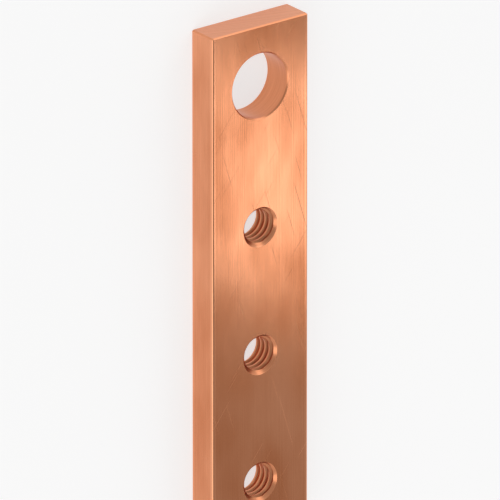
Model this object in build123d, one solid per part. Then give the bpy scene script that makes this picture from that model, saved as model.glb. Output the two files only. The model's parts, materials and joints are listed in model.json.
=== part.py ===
"""A short flat copper busbar with one plain fixing hole and a row of M6 tapped holes.

The bar lies on its back face. X runs along its length with the fixing hole at the -X end,
Y across its width and +Z out of its front face. The origin is the centre of the back face.
All sizes are in millimetres.
"""
import os

from build123d import *

# The drawn flat bar that the busbar is cut from
BAR_WIDTH = 17.5
BAR_THICKNESS = 5.0
ARRIS_RADIUS = 0.3  # the four long edges, rounded by the drawing die
END_CHAMFER = 0.2  # deburring round both sawn ends

# The plain hole, for the bolt that fixes the bar or joins it to its supply
FIXING_HOLE_DIAMETER = 10.0
FIXING_HOLE_CHAMFER = 0.2
FIXING_HOLE_TO_END = 9.3

# The tapped holes, one for each outgoing conductor
TAPPED_HOLE_COUNT = 3
THREAD_DIAMETER = 6.0
THREAD_PITCH = 1.0
COUNTERSINK_DIAMETER = 6.2
FIXING_TO_FIRST_TAPPED_HOLE = 22.0
TAPPED_HOLE_SPACING = 20.0
LAST_TAPPED_HOLE_TO_END = 10.0

# How far a hole's cutter stands out of the bar's faces
CUTTER_OVERRUN = 1.0

# Places along the bar, from the driving sizes
tapped_row_length = (TAPPED_HOLE_COUNT - 1) * TAPPED_HOLE_SPACING
bar_length = (
    FIXING_HOLE_TO_END + FIXING_TO_FIRST_TAPPED_HOLE + tapped_row_length + LAST_TAPPED_HOLE_TO_END
)
fixing_hole_x = FIXING_HOLE_TO_END - bar_length / 2
first_tapped_hole_x = fixing_hole_x + FIXING_TO_FIRST_TAPPED_HOLE

# The drill for a coarse thread is the thread's diameter less its pitch, which leaves the thread's crests
tapping_drill_diameter = THREAD_DIAMETER - THREAD_PITCH


def bar_blank():
    """The sawn length of flat bar: a rounded rectangle run along X, with both ends deburred."""
    section = Plane.YZ * Pos(0, BAR_THICKNESS / 2) * RectangleRounded(
        BAR_WIDTH, BAR_THICKNESS, ARRIS_RADIUS
    )
    blank = extrude(section, amount=bar_length / 2, both=True)
    sawn_faces = blank.faces().sort_by(Axis.X)
    end_edges = sawn_faces[0].edges() + sawn_faces[-1].edges()
    return chamfer(end_edges, END_CHAMFER)


def through_hole_cutter(x, diameter, mouth_diameter):
    """What a drill and a 90 degree countersink take out: half its outline, turned round the hole's axis."""
    radius = diameter / 2
    mouth_radius = mouth_diameter / 2
    chamfer_depth = mouth_radius - radius
    outer_radius = mouth_radius + CUTTER_OVERRUN
    bottom, top = -CUTTER_OVERRUN, BAR_THICKNESS + CUTTER_OVERRUN
    outline = Polyline(
        (0, bottom),
        (outer_radius, bottom),
        (radius, chamfer_depth),
        (radius, BAR_THICKNESS - chamfer_depth),
        (outer_radius, top),
        (0, top),
        close=True,
    )
    cutter = revolve(Plane.XZ * make_face(outline), axis=Axis.Z)
    return Pos(x, 0, 0) * cutter


def busbar():
    """The blank with its fixing hole drilled and its row of holes drilled and countersunk for tapping."""
    bar = bar_blank()
    bar -= through_hole_cutter(
        fixing_hole_x, FIXING_HOLE_DIAMETER, FIXING_HOLE_DIAMETER + 2 * FIXING_HOLE_CHAMFER
    )
    for number in range(TAPPED_HOLE_COUNT):
        hole_x = first_tapped_hole_x + number * TAPPED_HOLE_SPACING
        bar -= through_hole_cutter(hole_x, tapping_drill_diameter, COUNTERSINK_DIAMETER)
    return bar


os.makedirs("parts", exist_ok=True)
export_step(busbar(), "parts/busbar.step")
print(f"busbar {bar_length:.1f} mm long, fixing hole at x {fixing_hole_x:.2f}")
print(f"first tapped hole at x {first_tapped_hole_x:.2f}, drilled {tapping_drill_diameter:.1f} mm")
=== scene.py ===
# %% [markdown]
# A copper busbar with tapped holes, finished in Blender
#
# A busbar is a flat bar of copper that shares current out in a switchboard. This short one is bolted down
# through the large plain hole at one end, and each wire that leaves it is held by a screw in a tapped hole.
# Its solid model gives the sizes. This lesson gives it the two things that a solid model leaves out, which
# are the screw threads and the finish of the copper.
#
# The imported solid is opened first, and nothing else is read from disk. Blender counts in metres, so a size
# in millimetres is multiplied by MM. The box that the solid fills is kept, to compare with at the end.

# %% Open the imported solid
import json
import math

import bmesh
import bpy
from mathutils import Matrix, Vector
import numpy as np


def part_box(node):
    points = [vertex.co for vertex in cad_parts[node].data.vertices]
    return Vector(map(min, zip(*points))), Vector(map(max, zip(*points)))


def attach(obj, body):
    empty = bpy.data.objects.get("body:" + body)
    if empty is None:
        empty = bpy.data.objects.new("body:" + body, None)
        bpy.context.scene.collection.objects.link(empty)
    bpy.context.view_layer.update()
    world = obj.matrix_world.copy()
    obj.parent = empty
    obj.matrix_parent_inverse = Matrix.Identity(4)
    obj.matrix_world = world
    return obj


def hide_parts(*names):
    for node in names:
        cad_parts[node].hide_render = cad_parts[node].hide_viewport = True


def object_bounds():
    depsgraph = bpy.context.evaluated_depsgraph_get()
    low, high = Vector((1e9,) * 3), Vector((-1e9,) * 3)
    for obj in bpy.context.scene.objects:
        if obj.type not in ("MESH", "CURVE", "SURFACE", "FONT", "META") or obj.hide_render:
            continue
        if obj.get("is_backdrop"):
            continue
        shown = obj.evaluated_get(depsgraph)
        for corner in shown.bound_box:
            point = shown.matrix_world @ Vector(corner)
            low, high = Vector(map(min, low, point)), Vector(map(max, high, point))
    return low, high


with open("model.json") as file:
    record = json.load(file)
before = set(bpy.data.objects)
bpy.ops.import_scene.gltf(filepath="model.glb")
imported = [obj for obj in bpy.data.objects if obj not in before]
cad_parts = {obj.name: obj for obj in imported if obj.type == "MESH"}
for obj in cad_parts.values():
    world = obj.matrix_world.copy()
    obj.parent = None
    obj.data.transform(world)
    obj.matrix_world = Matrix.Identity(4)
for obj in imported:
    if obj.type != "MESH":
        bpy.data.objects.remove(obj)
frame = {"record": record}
solid_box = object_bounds()
MM = 0.001

low, high = (np.array(corner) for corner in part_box("busbar"))
bar_length, bar_width, bar_thickness = high - low
back, front = low[2], high[2]
print("bar", np.round((high - low) / MM, 2), "mm")

# %% [markdown]
# The holes
#
# The record of the solid lists each hole as a mount: a point on its axis, the radius of its wall and the
# length of the wall that is left between the countersinks at its two mouths. A countersink cut at 90
# degrees widens a hole by as much as it is deep, on each side, so the radius of the mouth follows from
# those two.

# %% Read the holes
HOLE_KINDS = ("bore", "threaded_hole")


def read_hole(mount):
    """A hole's place along the bar, its wall's radius, its mouth's radius and whether it is tapped."""
    wall_radius = mount["dims"]["r_mm"] * MM
    countersink_depth = (bar_thickness - mount["dims"]["length_mm"] * MM) / 2
    return {
        "x": mount["pos_m"][0],
        "wall_radius": wall_radius,
        "mouth_radius": wall_radius + countersink_depth,
        "tapped": mount["kind"] == "threaded_hole",
    }


holes = [read_hole(mount) for mount in frame["record"]["mounts"] if mount["kind"] in HOLE_KINDS]
holes.sort(key=lambda hole: hole["x"])
for hole in holes:
    print("hole at", round(hole["x"] / MM, 2), "mm, wall radius", round(hole["wall_radius"] / MM, 2))

# %% [markdown]
# How the bar's surface is made
#
# The bar could be a block with holes cut out of it by a Boolean modifier, but a thread cut that way is slow
# and leaves torn edges. Here the whole skin is worked out instead. The bar is divided across into cells,
# one round each hole. From a hole's axis, rays run out to points spaced evenly round the cell's border, and
# a profile is carried from ray to ray: across the front face, down the hole's wall and back along the back
# face. Each piece of the skin is a grid of points, rows by columns, and neighbours share the points of the
# edge where they meet, so the grids close up when equal points are merged.

# %% Divide the bar into cells
ARRIS_RADIUS = 0.3 * MM  # the long edges are rounded by the die that the bar was drawn through
END_CHAMFER = 0.2 * MM  # a file has taken the edge off both sawn ends
BORDER_STEP = 0.4 * MM  # spacing of the points round a cell's border

face_half_width = bar_width / 2 - ARRIS_RADIUS
face_ends = np.array([-1, 1]) * (bar_length / 2 - END_CHAMFER)
hole_places = np.array([hole["x"] for hole in holes])
cell_ends = np.concatenate([face_ends[:1], (hole_places[:-1] + hole_places[1:]) / 2, face_ends[1:]])


def evenly(start, end):
    """Places from start to end, about one border step apart."""
    steps = max(1, round(abs(end - start) / BORDER_STEP))
    return np.linspace(start, end, steps + 1)


def cell_border(start, end):
    """Points (x, y) anticlockwise round the flat part of a cell, with the first point again at the end."""
    along = evenly(start, end)
    across = evenly(-face_half_width, face_half_width)
    sides = [
        (np.full_like(across, end), across),
        (along[::-1], np.full_like(along, face_half_width)),
        (np.full_like(across, start), across[::-1]),
        (along, np.full_like(along, -face_half_width)),
    ]
    corner_free = [np.stack(side, axis=-1)[:-1] for side in sides]
    return np.concatenate([*corner_free, corner_free[0][:1]])


print("cells end at", np.round(cell_ends / MM, 2), "mm")

# %% [markdown]
# The screw thread
#
# A tap cuts one groove that climbs round the hole's wall, an M6 x 1 thread: 6 mm across the bottom of the
# groove and 1 mm higher with each turn. The groove's sides, its flanks, lean 30 degrees from square, so the
# groove narrows by tan 30 for each unit of depth, and its bottom is flat for an eighth of the pitch. What
# the drill left between two turns is the thread's crest.
#
# A Screw modifier could carry the groove's outline up the helix, but the thread would stick out of both
# faces and have to be cut off there. Here the helix is worked out, as an outline that goes round the axis
# while it climbs by one pitch a turn. Rows of the grid follow the groove, so its corners stay crisp. A row
# that would leave the bar is held at the face, where its points fall together on the mouth and are merged,
# and the countersink, a cone, cuts into the thread wherever it is the wider of the two. That leaves the
# thin run-out that a real countersunk thread has.

# %% Work out the groove and the hole's wall
THREAD_PITCH = 1.0 * MM
THREAD_RADIUS = 3.0 * MM
FLANK_LEAN = math.radians(30)
ROOT_FLAT = THREAD_PITCH / 8  # width of the groove's flat bottom
STRETCH_STEPS = (2, 5, 2, 5, 2)  # rows on half a crest, a flank, the bottom, a flank and half a crest
FULL_TURN = 2 * math.pi


def groove_outline(wall_radius):
    """Heights and radii of a thread's section, over more turns than the bar is thick.

    With h the distance from the middle of the nearest groove, the radius is that of the groove's bottom less
    (h - half the flat) / tan(flank lean), kept between the drilled wall and the bottom.
    """
    flank = (THREAD_RADIUS - wall_radius) * math.tan(FLANK_LEAN)
    bends = np.array([-THREAD_PITCH / 2, -ROOT_FLAT / 2 - flank, -ROOT_FLAT / 2])
    bends = np.concatenate([bends, -bends[::-1]])
    steps = np.concatenate([[0], np.cumsum(STRETCH_STEPS)])
    one_turn = np.interp(np.arange(steps[-1]), steps, bends)
    turns = np.arange(-1, math.ceil(bar_thickness / THREAD_PITCH) + 2)
    heights = (turns[:, None] * THREAD_PITCH + one_turn).ravel()
    from_groove = np.abs((heights / THREAD_PITCH + 0.5) % 1 - 0.5) * THREAD_PITCH
    radii = THREAD_RADIUS - (from_groove - ROOT_FLAT / 2) / math.tan(FLANK_LEAN)
    return heights, np.clip(radii, wall_radius, THREAD_RADIUS)


def hole_wall(hole, angle):
    """The hole's wall with both countersinks, as a grid from the back mouth up to the front mouth.

    Height is the outline's own height plus the pitch times the share of a turn, kept within the bar.
    Radius is the larger of the outline's radius and the countersink's, which is the mouth's radius less the
    depth below the nearest face.
    """
    if hole["tapped"]:
        heights, radii = groove_outline(hole["wall_radius"])
        climb = THREAD_PITCH * (angle - angle[0]) / FULL_TURN
    else:
        depth = hole["mouth_radius"] - hole["wall_radius"]
        heights = np.concatenate([[back], evenly(back + depth, front - depth), [front]])
        radii = np.full_like(heights, hole["wall_radius"])
        climb = np.zeros_like(angle)
    height = np.clip(heights[:, None] + climb, back, front)
    countersink = hole["mouth_radius"] - np.minimum(height - back, front - height)
    radius = np.maximum(radii[:, None], countersink)
    return np.stack([hole["x"] + radius * np.cos(angle), radius * np.sin(angle), height], axis=-1)


heights, radii = groove_outline(holes[-1]["wall_radius"])
print("groove from radius", radii.min() / MM, "to", radii.max() / MM, "in", len(heights), "rows")

# %% [markdown]
# Collecting the grids
#
# Each grid is kept with the number of its finish, because the drawn faces, the sawn ends and the cut holes
# are worked in different ways and get a material each. The chamfers that a file left round both ends count
# as cut. The wall's first and last rows are the hole's mouths, so the faces only need a strip from each
# mouth out to the cell's border.

# %% Make the cells
FINISHES = ("drawn", "sawn", "cut")
skin = []


def add_skin(finish, *rows):
    """Keeps one grid of points, given as its rows or as a whole grid, with its finish."""
    grid = np.concatenate([np.asarray(row).reshape(-1, *np.shape(row)[-2:]) for row in rows])
    skin.append((FINISHES.index(finish), grid))


def at_height(points, height):
    """Flat points (x, y) lifted to one height."""
    return np.column_stack([points, np.full(len(points), height)])


for hole, start, end in zip(holes, cell_ends[:-1], cell_ends[1:]):
    border = cell_border(start, end)
    angle = np.unwrap(np.arctan2(border[:, 1], border[:, 0] - hole["x"]))
    wall = hole_wall(hole, angle)
    add_skin("cut", wall)
    add_skin("drawn", at_height(border, back), wall[0])
    add_skin("drawn", wall[-1], at_height(border, front))
print(len(skin), "grids in the cells")

# %% [markdown]
# The sides and the ends
#
# The bar was pulled through a die, so its section is the same all along: a rectangle whose corners are
# small quarter circles. One side's line of the section is carried along the bar to make the side face with
# its two rounded arrises. A Bevel modifier on a box would round them too, but its points wouldn't meet
# those of the cells. At each end the whole section is drawn once at the start of the chamfer and once,
# moved in by the chamfer's width, in the plane of the saw cut, and straight lines from its front to its
# back fill it.

# %% Make the sides and the ends
ARRIS_STEPS = 8
SIDE_STEPS = 6
SAME_PLACE_DECIMALS = 9  # places that are the same to a nanometre are one


def side_line(inset=0.0):
    """Points (y, z) down the +Y side of the section, from the front face's edge to the back face's.

    Each arris is a quarter circle, centre + radius * (sin turn, cos turn), and inset draws the line inwards.
    """
    turn = np.linspace(0, math.pi / 2, ARRIS_STEPS + 1)
    out = (ARRIS_RADIUS - inset) * np.sin(turn)
    up = (ARRIS_RADIUS - inset) * np.cos(turn)
    run = np.linspace(front - ARRIS_RADIUS, back + ARRIS_RADIUS, SIDE_STEPS + 1)[1:-1]
    y = np.concatenate([out, np.full_like(run, out[-1]), out[::-1]]) + face_half_width
    z = np.concatenate([front - ARRIS_RADIUS + up, run, back + ARRIS_RADIUS - up[::-1]])
    return np.column_stack([y, z])


def whole_section(inset=0.0):
    """Points (y, z) all round the section, with the first point again at the end."""
    across = evenly(-face_half_width, face_half_width)[1:-1]
    right = side_line(inset)
    left = right[::-1] * (-1, 1)
    front_run = np.column_stack([across, np.full_like(across, front - inset)])
    back_run = np.column_stack([across[::-1], np.full_like(across, back + inset)])
    return np.concatenate([front_run, right, back_run, left, front_run[:1]])


def end_face(inset):
    """A grid (y, z) that fills the section: rows run from its front line to its back line."""
    across = evenly(-face_half_width, face_half_width)[1:-1]
    corner = side_line(inset)[: ARRIS_STEPS + 1]
    front_line = np.concatenate(
        [corner[::-1] * (-1, 1), np.column_stack([across, np.full_like(across, front - inset)]), corner]
    )
    share = np.linspace(0, 1, SIDE_STEPS + 1)[:, None]
    z = front_line[:, 1] * (1 - share) + (front + back - front_line[:, 1]) * share
    return np.stack([np.broadcast_to(front_line[:, 0], z.shape), z], axis=-1)


def at_place(x, points):
    """Section points (y, z) set at one place along the bar."""
    return np.concatenate([np.full((*points.shape[:-1], 1), x), points], axis=-1)


cell_places = np.concatenate([evenly(*ends) for ends in zip(cell_ends[:-1], cell_ends[1:])])
stations = np.unique(cell_places.round(SAME_PLACE_DECIMALS))
for side in (1, -1):
    add_skin("drawn", *[at_place(x, side_line() * (side, 1)) for x in stations])
for toward in (1, -1):
    chamfer_start = at_place(toward * (bar_length / 2 - END_CHAMFER), whole_section())
    chamfer_end = at_place(toward * bar_length / 2, whole_section(END_CHAMFER))
    add_skin("cut", chamfer_start, chamfer_end)
    add_skin("sawn", at_place(toward * bar_length / 2, end_face(END_CHAMFER)))
print(len(skin), "grids in the whole skin")

# %% [markdown]
# One closed mesh
#
# The points of all the grids go into one mesh, and every four neighbours in a grid become a face. Points
# that lie in the same place are merged, which closes the skin, and the normals are turned outwards
# afterwards. An edge that has other than two faces would be a tear, so such edges are counted, and the
# volume is printed to compare with the solid's, which lacks the grooves of the threads.

# %% Join the grids
MERGE_DISTANCE = 0.0002 * MM


def joined(skin):
    """All points, all four-sided faces and each face's finish, from the grids one after another."""
    points, faces, finishes = [], [], []
    used = 0
    for finish, grid in skin:
        rows, columns = grid.shape[:2]
        number = used + np.arange(rows * columns).reshape(rows, columns)
        around = [number[:-1, :-1], number[1:, :-1], number[1:, 1:], number[:-1, 1:]]
        points.append(grid.reshape(-1, 3))
        faces.append(np.stack(around, axis=-1).reshape(-1, 4))
        finishes.append(np.full(len(faces[-1]), finish))
        used += rows * columns
    return np.concatenate(points), np.concatenate(faces), np.concatenate(finishes)


points, faces, finishes = joined(skin)
bar_mesh = bpy.data.meshes.new("copper_bar")
bar_mesh.from_pydata(points, [], faces)
bar_mesh.polygons.foreach_set("material_index", finishes.astype(np.int32))

shell = bmesh.new()
shell.from_mesh(bar_mesh)
bmesh.ops.remove_doubles(shell, verts=shell.verts, dist=MERGE_DISTANCE)
bmesh.ops.recalc_face_normals(shell, faces=shell.faces)
tears = sum(not edge.is_manifold for edge in shell.edges)
volume = shell.calc_volume()
shell.to_mesh(bar_mesh)
shell.free()

bar_mesh.calc_loop_triangles()
print(len(bar_mesh.loop_triangles), "triangles,", tears, "tears, volume", round(volume / MM**3, 1), "mm3")

# %% [markdown]
# Flat faces and crisp edges
#
# The faces and sides of the bar are flat, and only its arrises and its holes are round. Smooth shading all
# over would bend the light on a flat face next to its rounded edge. So the faces that lie square to an axis
# are shaded flat, unless they belong to a hole, and the rest smooth, with an edge kept sharp where the skin
# turns by more than 30 degrees. Marking the sharp edges clears the faces' own marks, so the flat faces are
# marked after it.

# %% Mark the sharp edges and the flat faces
SHARP_ANGLE = math.radians(30)
FLAT_ENOUGH = 0.99999  # a unit normal's largest part, where the face lies square to an axis

normals = np.empty(3 * len(bar_mesh.polygons), np.float32)
bar_mesh.polygons.foreach_get("normal", normals)
finishes = np.empty(len(bar_mesh.polygons), np.int32)
bar_mesh.polygons.foreach_get("material_index", finishes)
along_an_axis = np.abs(normals.reshape(-1, 3)).max(axis=1) > FLAT_ENOUGH
smooth = ~along_an_axis | (finishes == FINISHES.index("cut"))
bar_mesh.set_sharp_from_angle(angle=SHARP_ANGLE)
bar_mesh.polygons.foreach_set("use_smooth", smooth)
bar_mesh.update()
print(np.count_nonzero(~smooth), "faces shaded flat and", np.count_nonzero(smooth), "smooth")

# %% [markdown]
# Standing in for the plain solid
#
# The solid keeps its mass and its part in collisions, and the finished bar takes its place in the picture.
# The bar moves with the solid's body and hides the solid's node.

# %% Stand the finished bar in for the plain solid
bar = bpy.data.objects.new("copper_bar", bar_mesh)
bpy.context.scene.collection.objects.link(bar)
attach(bar, "root")
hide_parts("busbar")
print(bar.name, "has", len(bar_mesh.vertices), "points and stands in for busbar")

# %% [markdown]
# Helpers for the materials
#
# Colours are written as sRGB hex values, as a colour picker shows them, while shaders count in linear
# light, so one function turns one into the other. Another adds a node with its settings and its inputs.
#
# Patterns are placed by Object coordinates, which are metres along the bar's own axes. A Mapping node of
# the Texture kind divides them by its Scale, so its Scale is simply the real size of one speck of the
# pattern, and a noise whose speck is far longer than wide draws lines.

# %% Colour and node helpers
SRGB_KNEE = 0.04045
SRGB_SLOPE = 12.92
SRGB_OFFSET = 0.055
SRGB_POWER = 2.4


def linear(hex_colour):
    """The linear red, green, blue and alpha of an sRGB hex value such as F0A47B.

    Up to the knee it is the value over the slope, and above it a power of the value with its offset.
    """
    channels = []
    for place in (0, 2, 4):
        share = int(hex_colour[place : place + 2], 16) / 255
        curved = ((share + SRGB_OFFSET) / (1 + SRGB_OFFSET)) ** SRGB_POWER
        channels.append(share / SRGB_SLOPE if share <= SRGB_KNEE else curved)
    return (*channels, 1.0)


def add_node(tree, kind, inputs=(), **settings):
    """Adds a node. Each input is a value to set, or a node or one of its outputs to link."""
    node = tree.nodes.new(kind)
    for name, value in settings.items():
        setattr(node, name, value)
    sockets = {socket.identifier: socket for socket in node.inputs}
    for name, value in dict(inputs).items():
        if isinstance(value, bpy.types.Node):
            value = value.outputs[0]
        if isinstance(value, bpy.types.NodeSocket):
            tree.links.new(value, sockets[name])
        else:
            sockets[name].default_value = value
    return node


def new_tree(owner):
    """The empty node tree of a material or a world."""
    owner.use_nodes = True
    owner.node_tree.nodes.clear()
    return owner.node_tree


def speck(*sides):
    """The real size of a pattern's speck, given in millimetres."""
    return [side * MM for side in sides]


print("middle grey is", round(linear("808080")[0], 3), "in linear light")

# %% [markdown]
# The metal
#
# The faces, the ends and the holes are the same copper. It reflects orange light, so the base colour is
# that of its reflection, metallic is 1 and the index of refraction keeps its default. In the air, copper
# soon loses its first pink and turns a warm brown orange. Each finish says how far its colour lies towards
# that, from 0, clean, to 1, aired, and adds its own roughness and relief. On the sawn ends that share is
# painted shade of the saw marks instead.

# %% Shader of the copper
CLEAN_COPPER = "F0A47B"
AIRED_COPPER = "D08157"
MIXED_COLOUR = 2  # number of the Mix node's colour output


def copper_shader(tree, toward_aired, roughness, relief):
    """Ends the tree of a finish, whose colour lies between clean, at 0, and aired, at 1; on the sawn ends
    the share is painted shade of the saw marks.
    """
    copper = add_node(
        tree,
        "ShaderNodeMix",
        {"Factor_Float": toward_aired, "A_Color": linear(CLEAN_COPPER), "B_Color": linear(AIRED_COPPER)},
        data_type="RGBA",
    ).outputs[MIXED_COLOUR]
    shader = add_node(
        tree,
        "ShaderNodeBsdfPrincipled",
        {"Base Color": copper, "Metallic": 1.0, "Roughness": roughness, "Normal": relief},
    )
    add_node(tree, "ShaderNodeOutputMaterial", {"Surface": shader})


print("clean copper is", [round(share, 3) for share in linear(CLEAN_COPPER)])

# %% [markdown]
# Die lines and grain
#
# The long faces are bare drawn copper. Pulling the bar through a die leaves straight lines along its whole
# length, with a short fine grain between them. A picture of brushed metal could be laid on, but it would
# show where it repeats and where it meets itself, while a noise that is placed in millimetres runs on round
# every edge.
#
# Real die lines are about 0.05 mm wide, which is finer than a pixel of this render. They are drawn 0.2 mm
# wide, as coarse as they need to be to show. A speck much longer than the bar keeps them straight all
# along.

# %% Height of the drawn surface
DIE_LINE = speck(2000, 0.2, 0.2)
GRAIN = speck(3, 0.15, 0.15)
GRAIN_SHARE = 0.4  # height of the grain, as a share of the height of the lines


def drawn_surface(tree, place):
    """Height of the drawn surface: the noise of the lines plus a share of the grain's."""
    line_place = add_node(
        tree, "ShaderNodeMapping", {"Vector": place, "Scale": DIE_LINE}, vector_type="TEXTURE"
    )
    lines = add_node(
        tree, "ShaderNodeTexNoise", {"Vector": line_place, "Scale": 1.0, "Detail": 3.0, "Roughness": 0.6}
    )
    grain_place = add_node(
        tree, "ShaderNodeMapping", {"Vector": place, "Scale": GRAIN}, vector_type="TEXTURE"
    )
    grain = add_node(tree, "ShaderNodeTexNoise", {"Vector": grain_place, "Scale": 1.0, "Detail": 2.0})
    return add_node(
        tree,
        "ShaderNodeMath",
        {"Value": grain, "Value_001": GRAIN_SHARE, "Value_002": lines},
        operation="MULTIPLY_ADD",
    )


print("die lines", round(DIE_LINE[1] / MM, 2), "mm wide, grain", round(GRAIN[1] / MM, 2), "mm wide")

# %% [markdown]
# Scratches
#
# A bar that has been stacked and carried has a few hairline scratches. They could be modelled one by one,
# but a noise with long thin specks draws them by itself: only its peaks are kept, so there are few of them,
# and each fades out at both ends. Two such noises, turned different ways, give two directions.

# %% Scratches in two directions
SCRATCH = speck(11, 0.1, 2)
SCRATCH_TURNS = (math.radians(-38), math.radians(17))
SCRATCH_START = 0.82  # the noise above which there is a scratch
SCRATCH_FULL = 0.88  # the noise at which it is as deep as it gets


def scratches(tree, place):
    """From 0 on whole metal to 1 in a scratch: how far the larger of the turned noises is up its peak."""
    scratch_noise = 0.0
    for turn in SCRATCH_TURNS:
        scratch_place = add_node(
            tree,
            "ShaderNodeMapping",
            {"Vector": place, "Rotation": (0.0, 0.0, turn), "Scale": SCRATCH},
            vector_type="TEXTURE",
        )
        one_way = add_node(
            tree, "ShaderNodeTexNoise", {"Vector": scratch_place, "Scale": 1.0, "Detail": 0.0}
        )
        scratch_noise = add_node(
            tree, "ShaderNodeMath", {"Value": one_way, "Value_001": scratch_noise}, operation="MAXIMUM"
        )
    return add_node(
        tree,
        "ShaderNodeMapRange",
        {"Value": scratch_noise, "From Min": SCRATCH_START, "From Max": SCRATCH_FULL},
    )


print(len(SCRATCH_TURNS), "directions of scratches, up to", round(SCRATCH[0] / MM, 1), "mm long")

# %% [markdown]
# Rubbed edges
#
# The long edges are rubbed clean wherever the bar is handled. They could be found from the mesh's own
# curvature, but the arrises are narrow and the rubbed band is wider than they are. The place of a point is
# enough: an absolute value folds the section's four corners onto one, and the distance from that corner
# says how much the copper has been rubbed.

# %% Nearness to the long edges
RUBBED_WIDTH = 0.7 * MM


def rubbed_edges(tree, place):
    """From 1 on a long edge to 0 where the distance from it, in the section, is the rubbed width."""
    from_middle = add_node(
        tree,
        "ShaderNodeVectorMath",
        {"Vector": place, "Vector_001": (0.0, 0.0, (back + front) / 2)},
        operation="SUBTRACT",
    )
    mirrored = add_node(tree, "ShaderNodeVectorMath", {"Vector": from_middle}, operation="ABSOLUTE")
    from_corner = add_node(
        tree,
        "ShaderNodeVectorMath",
        {"Vector": mirrored, "Vector_001": (0.0, bar_width / 2, bar_thickness / 2)},
        operation="SUBTRACT",
    )
    across_only = add_node(
        tree,
        "ShaderNodeVectorMath",
        {"Vector": from_corner, "Vector_001": (0.0, 1.0, 1.0)},
        operation="MULTIPLY",
    )
    corner_distance = add_node(
        tree, "ShaderNodeVectorMath", {"Vector": across_only}, operation="LENGTH"
    ).outputs["Value"]
    return add_node(
        tree,
        "ShaderNodeMapRange",
        {"Value": corner_distance, "From Min": 0.0, "From Max": RUBBED_WIDTH, "To Min": 1.0, "To Max": 0.0},
    )


print("edges rubbed", round(RUBBED_WIDTH / MM, 1), "mm wide")

# %% [markdown]
# Tarnish
#
# The drawn faces have lain in the air. Copper tarnishes unevenly, in patches of some millimetres, more in
# the bottoms of the lines and less on their tops, and it is clean again where it is rubbed. One even colour
# would look like paint, so the three are put together.

# %% How far the drawn faces have tarnished
TARNISH_PATCH = speck(16, 7, 7)
PATCH_LOW, PATCH_HIGH = 0.25, 0.75  # a noise seldom leaves this range, which is stretched to 0 and 1
LINE_BOTTOM, LINE_TOP = 0.45, 0.95  # heights of the drawn surface
BOTTOM_TARNISH, TOP_TARNISH = 0.22, -0.2  # what they add to the patches


def tarnish(tree, place, surface):
    """From 0, clean, to 1, aired: the patches plus what the lines add, less what is rubbed off."""
    patch_place = add_node(
        tree, "ShaderNodeMapping", {"Vector": place, "Scale": TARNISH_PATCH}, vector_type="TEXTURE"
    )
    patches = add_node(
        tree, "ShaderNodeTexNoise", {"Vector": patch_place, "Scale": 1.0, "Detail": 2.0, "Roughness": 0.5}
    )
    patchy = add_node(
        tree, "ShaderNodeMapRange", {"Value": patches, "From Min": PATCH_LOW, "From Max": PATCH_HIGH}
    )
    in_lines = add_node(
        tree,
        "ShaderNodeMapRange",
        {
            "Value": surface,
            "From Min": LINE_BOTTOM,
            "From Max": LINE_TOP,
            "To Min": BOTTOM_TARNISH,
            "To Max": TOP_TARNISH,
        },
        clamp=False,
    )
    unrubbed = add_node(
        tree, "ShaderNodeMath", {"Value": patchy, "Value_001": in_lines}, operation="ADD"
    )
    return add_node(
        tree,
        "ShaderNodeMath",
        {"Value": unrubbed, "Value_001": rubbed_edges(tree, place)},
        operation="SUBTRACT",
        use_clamp=True,
    )


print("tarnish in patches", round(TARNISH_PATCH[0] / MM), "mm long")

# %% [markdown]
# Drawn copper
#
# The four patterns come together in the material of the long faces. Clean drawn copper is a bright satin,
# tarnish dulls it a little, and a scratch is duller still. Lines and scratches are only some thousandths of
# a millimetre deep, too shallow to model, so they turn the light as bump. To the eye that is a satin metal
# that spreads a highlight across its lines.

# %% Material for the drawn faces
CLEAN_ROUGHNESS = 0.14
AIRED_ROUGHNESS = 0.25
SCRATCH_ROUGHNESS = 0.1  # added in a scratch
RELIEF_DEPTH = 0.008 * MM
SCRATCH_DEPTH = 0.006 * MM


def drawn_copper():
    """Bare copper flat, drawn through a die: satin, with straight lines along it."""
    material = bpy.data.materials.new("drawn_copper")
    tree = new_tree(material)
    place = add_node(tree, "ShaderNodeTexCoord").outputs["Object"]
    surface = drawn_surface(tree, place)
    scratched = scratches(tree, place)
    toward_aired = tarnish(tree, place, surface)
    satin = add_node(
        tree,
        "ShaderNodeMapRange",
        {
            "Value": toward_aired,
            "From Min": 0.0,
            "From Max": 1.0,
            "To Min": CLEAN_ROUGHNESS,
            "To Max": AIRED_ROUGHNESS,
        },
    )
    roughness = add_node(
        tree,
        "ShaderNodeMath",
        {"Value": scratched, "Value_001": SCRATCH_ROUGHNESS, "Value_002": satin},
        operation="MULTIPLY_ADD",
    )
    line_relief = add_node(
        tree, "ShaderNodeBump", {"Height": surface, "Strength": 1.0, "Distance": RELIEF_DEPTH}
    )
    relief = add_node(
        tree,
        "ShaderNodeBump",
        {"Height": scratched, "Strength": 1.0, "Distance": SCRATCH_DEPTH, "Normal": line_relief},
        invert=True,
    )
    copper_shader(tree, toward_aired, roughness, relief)
    return material


bar_mesh.materials.append(drawn_copper())
print(bar_mesh.materials[-1].name, "has", len(bar_mesh.materials[-1].node_tree.nodes), "nodes")

# %% [markdown]
# Sawn copper
#
# The bar was cut to length with a circular saw. Its teeth leave shallow arcs round the blade's axle on both
# ends, and the fresh metal is cleaner and a little rougher than the drawn faces. A Wave texture would draw
# rings that are all alike. Here the distance of a point from the axle, counted in marks, drives a noise
# along one line, so that each mark has its own depth. The same noise darkens the colour where a mark stands
# higher, as painted shade, since the even floor that the ends mirror would hardly show their relief. The
# blade here has a radius of about 120 mm and its axle below the bar, as an up-cut saw has it.

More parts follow.
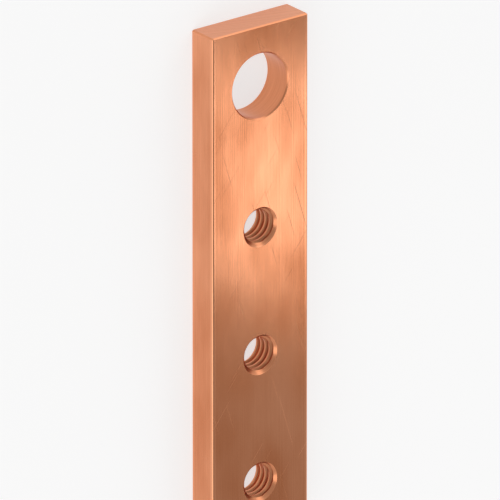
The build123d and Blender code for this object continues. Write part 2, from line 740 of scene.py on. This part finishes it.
# %% Material for the sawn ends
SAW_MARK = 0.22 * MM
SAW_MARK_DEPTH = 0.03 * MM
SAW_AXLE = (0.0, 40 * MM, -110 * MM)
MARK_LOW, MARK_HIGH = 0.35, 0.65  # the range of the marks' noise that is shaded
LIGHT_MARK, DARK_MARK = 0.1, 0.6  # painted shade: how far such a mark is darkened towards aired copper
SAWN_ROUGHNESS = 0.3


def sawn_copper():
    """Copper fresh from a circular saw: clean, with the arcs that the teeth leave, their relief also painted
    into the colour as shade.
    """
    material = bpy.data.materials.new("sawn_copper")
    tree = new_tree(material)
    place = add_node(tree, "ShaderNodeTexCoord").outputs["Object"]
    from_axle = add_node(
        tree, "ShaderNodeVectorMath", {"Vector": place, "Vector_001": SAW_AXLE}, operation="DISTANCE"
    ).outputs["Value"]
    arc = add_node(
        tree, "ShaderNodeMath", {"Value": from_axle, "Value_001": SAW_MARK}, operation="DIVIDE"
    )
    marks = add_node(
        tree, "ShaderNodeTexNoise", {"W": arc, "Scale": 1.0, "Detail": 3.0}, noise_dimensions="1D"
    )
    # Painted shade: the marks' noise, which is also their height, darkens the copper so that the arcs show
    # on the ends
    shade = add_node(
        tree,
        "ShaderNodeMapRange",
        {
            "Value": marks,
            "From Min": MARK_LOW,
            "From Max": MARK_HIGH,
            "To Min": LIGHT_MARK,
            "To Max": DARK_MARK,
        },
    )
    relief = add_node(
        tree, "ShaderNodeBump", {"Height": marks, "Strength": 1.0, "Distance": SAW_MARK_DEPTH}
    )
    copper_shader(tree, shade, SAWN_ROUGHNESS, relief)
    return material


bar_mesh.materials.append(sawn_copper())
print(bar_mesh.materials[-1].name, "has marks", round(SAW_MARK / MM, 2), "mm apart")

# %% [markdown]
# Cut copper
#
# A drill, a countersink and a tap left the holes' walls, and a file the small chamfers round both ends.
# This metal has no patches and no scratches. It is an even satin, with fine rings round each hole where the
# tool's edge went round. Rings could be modelled in the hole's wall, but they are far finer than its grid,
# so they are bump and tint the copper a little. A noise whose speck is far wider than it is high draws
# them. Real rings are some hundredths of a millimetre high, and these are drawn 0.15 mm high to show.

# %% Material for the holes and the end chamfers
TOOL_RING = speck(9, 9, 0.15)
TOOL_RING_DEPTH = 0.008 * MM
CUT_ROUGHNESS = 0.28


def cut_copper():
    """Copper that was drilled, tapped or filed: an even satin, with fine rings round each hole."""
    material = bpy.data.materials.new("cut_copper")
    tree = new_tree(material)
    place = add_node(tree, "ShaderNodeTexCoord").outputs["Object"]
    ring_place = add_node(
        tree, "ShaderNodeMapping", {"Vector": place, "Scale": TOOL_RING}, vector_type="TEXTURE"
    )
    rings = add_node(tree, "ShaderNodeTexNoise", {"Vector": ring_place, "Scale": 1.0, "Detail": 2.0})
    relief = add_node(
        tree, "ShaderNodeBump", {"Height": rings, "Strength": 1.0, "Distance": TOOL_RING_DEPTH}
    )
    copper_shader(tree, rings, CUT_ROUGHNESS, relief)
    return material


bar_mesh.materials.append(cut_copper())
print([material.name for material in bar_mesh.materials])

# %% [markdown]
# The floor
#
# The bar lies on pale board, which is plain and diffuse, so it keeps the bar's shadow. Lamps strong enough
# to make it white in the picture would be too strong for the copper. So a glow is added to it for whatever
# looks at it, the camera and the bar's own reflections, while the board itself isn't lit by it and keeps
# its shadow. Lit board and glow together come out near white, where a strength of 1 is white. More board
# and less glow would make the shadow deeper, also where the floor shows through the holes.

# %% Lay the floor
FLOOR_SIDE = 3.0  # metres
FLOOR_GLOW = 0.64
BOARD = "BCBCBC"
WHITE = "FFFFFF"
FLOOR_CORNERS = ((-1, -1), (1, -1), (1, 1), (-1, 1))

floor_mesh = bpy.data.meshes.new("floor")
floor_points = [(x * FLOOR_SIDE / 2, y * FLOOR_SIDE / 2, back) for x, y in FLOOR_CORNERS]
floor_mesh.from_pydata(floor_points, [], [range(len(floor_points))])
floor = bpy.data.objects.new("floor", floor_mesh)
bpy.context.scene.collection.objects.link(floor)
floor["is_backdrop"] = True


def pale_floor():
    """Pale board that keeps the bar's shadow, and glows to whatever looks at it."""
    material = bpy.data.materials.new("pale_floor")
    tree = new_tree(material)
    rays = add_node(tree, "ShaderNodeLightPath").outputs
    seen = rays["Is Camera Ray"]
    for ray_kind in ("Is Glossy Ray", "Is Transmission Ray"):
        seen = add_node(
            tree,
            "ShaderNodeMath",
            {"Value": seen, "Value_001": rays[ray_kind]},
            operation="MAXIMUM",
        )
    strength = add_node(
        tree, "ShaderNodeMath", {"Value": seen, "Value_001": FLOOR_GLOW}, operation="MULTIPLY"
    )
    board = add_node(tree, "ShaderNodeBsdfDiffuse", {"Color": linear(BOARD)})
    glow = add_node(tree, "ShaderNodeEmission", {"Color": linear(WHITE), "Strength": strength})
    glowing_board = add_node(tree, "ShaderNodeAddShader", {"Shader": board, "Shader_001": glow})
    add_node(tree, "ShaderNodeOutputMaterial", {"Surface": glowing_board})
    return material


floor_mesh.materials.append(pale_floor())
print("floor", FLOOR_SIDE, "m wide at height", round(back / MM, 2), "mm")

# %% [markdown]
# The light
#
# Metal shows its surroundings, so they decide how copper looks. One even light would leave it as flat as
# paint. The room here is white at the horizon and darker overhead. A small softbox stands where the front
# face mirrors it between the fixing hole and the first tapped hole and loses it towards both ends, and that
# slow fall from bright to deep tells the eye that the face is metal. Two more stand where the edges and the
# countersinks catch them as thin bright lines, and one hangs overhead, for a look from straight above. None
# is so bright that a face that mirrors it turns white.

# %% Light the bar
HORIZON = 1.0  # brightness of the room at eye level, where 1 is white
CEILING = 0.22
# Places and sides are in metres, and a softbox of brightness 1 looks white.
SOFTBOXES = {
    "face_light": {"place": (0.036, 0.085, 0.11), "side": 0.034, "brightness": 1.3},
    "edge_light": {"place": (0.2, -0.42, 0.3), "side": 0.3, "brightness": 1.1},
    "rim_light": {"place": (-0.4, 0.3, 0.2), "side": 0.25, "brightness": 0.8},
    "top_light": {"place": (0.0, 0.0, 0.5), "side": 0.3, "brightness": 0.4},
}

world = bpy.data.worlds.new("studio")
bpy.context.scene.world = world
tree = new_tree(world)
direction = add_node(tree, "ShaderNodeTexCoord").outputs["Generated"]
height = add_node(tree, "ShaderNodeSeparateXYZ", {"Vector": direction}).outputs["Z"]
strength = add_node(
    tree,
    "ShaderNodeMapRange",
    {"Value": height, "From Min": 0.0, "From Max": 1.0, "To Min": HORIZON, "To Max": CEILING},
)
sky = add_node(tree, "ShaderNodeBackground", {"Color": linear(WHITE), "Strength": strength})
add_node(tree, "ShaderNodeOutputWorld", {"Surface": sky})


def add_softbox(name, place, side, brightness):
    """A square lamp that faces the bar. Its power is its brightness times pi times its area."""
    lamp = bpy.data.lights.new(name, "AREA")
    lamp.shape = "SQUARE"
    lamp.size = side
    lamp.energy = brightness * math.pi * side**2
    holder = bpy.data.objects.new(name, lamp)
    holder.location = place
    holder.rotation_mode = "QUATERNION"
    holder.rotation_quaternion = (-holder.location).to_track_quat("-Z", "Y")
    bpy.context.scene.collection.objects.link(holder)
    print(name, round(lamp.energy, 2), "W from", round(holder.location.length, 2), "m away")


for name, softbox in SOFTBOXES.items():
    add_softbox(name, **softbox)

# %% [markdown]
# The camera
#
# The picture to match is drawn in parallel projection, where equal lengths look equal near and far. A very
# long lens from far away comes close to that. The camera looks down at the bar and is rolled, so that the
# bar's length stands upright in the picture, with the fixing hole at the top: picture right is the bar's
# width, turned about its length, and the lift tips the sawn end into view.
#
# The drawing gives four values: both angles, the bar's width counted in pixels across the turned face, and
# the pixel where the middle of the back face lies. The rest follows from them.

# %% Place the camera
VIEW_TURN = math.radians(37.5)
VIEW_LIFT = math.radians(21.7)
PICTURE_SIDE = 500
BAR_WIDTH_IN_PIXELS = 120.2
ORIGIN_PIXEL = (239.4, 276.9)
LENS = 1500.0  # millimetres, as is the sensor's width
SENSOR = 36.0

toward_camera = np.array(
    [
        -math.sin(VIEW_LIFT),
        -math.cos(VIEW_LIFT) * math.sin(VIEW_TURN),
        math.cos(VIEW_LIFT) * math.cos(VIEW_TURN),
    ]
)
picture_right = np.array([0.0, math.cos(VIEW_TURN), math.sin(VIEW_TURN)])
picture_up = np.cross(toward_camera, picture_right)
pixel = bar_width / BAR_WIDTH_IN_PIXELS
aim = pixel * (
    (PICTURE_SIDE / 2 - ORIGIN_PIXEL[0]) * picture_right
    - (PICTURE_SIDE / 2 - ORIGIN_PIXEL[1]) * picture_up
)
distance = PICTURE_SIDE * pixel * LENS / SENSOR

camera = bpy.data.cameras.new("camera")
camera.lens = LENS
camera.sensor_width = SENSOR
camera.clip_start = distance / 2
camera.clip_end = distance * 2
camera_holder = bpy.data.objects.new("camera", camera)
placing = np.eye(4)
placing[:3, :3] = np.column_stack([picture_right, picture_up, toward_camera])
placing[:3, 3] = aim + toward_camera * distance
camera_holder.matrix_world = Matrix(placing.tolist())
bpy.context.scene.collection.objects.link(camera_holder)
bpy.context.scene.camera = camera_holder
bpy.context.scene.view_settings.view_transform = "Standard"
print("camera", round(distance, 2), "m away, one pixel is", round(pixel / MM, 3), "mm at the bar")

# %% [markdown]
# The sizes at the end
#
# A finish must not change the object's size, so the box of the solid and the box of the finished bar are
# printed together, to be compared.

# %% Print the sizes
for name, box in (("solid", solid_box), ("finished bar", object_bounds())):
    print(name, np.round(np.ptp([list(corner) for corner in box], axis=0) / MM, 2), "mm")
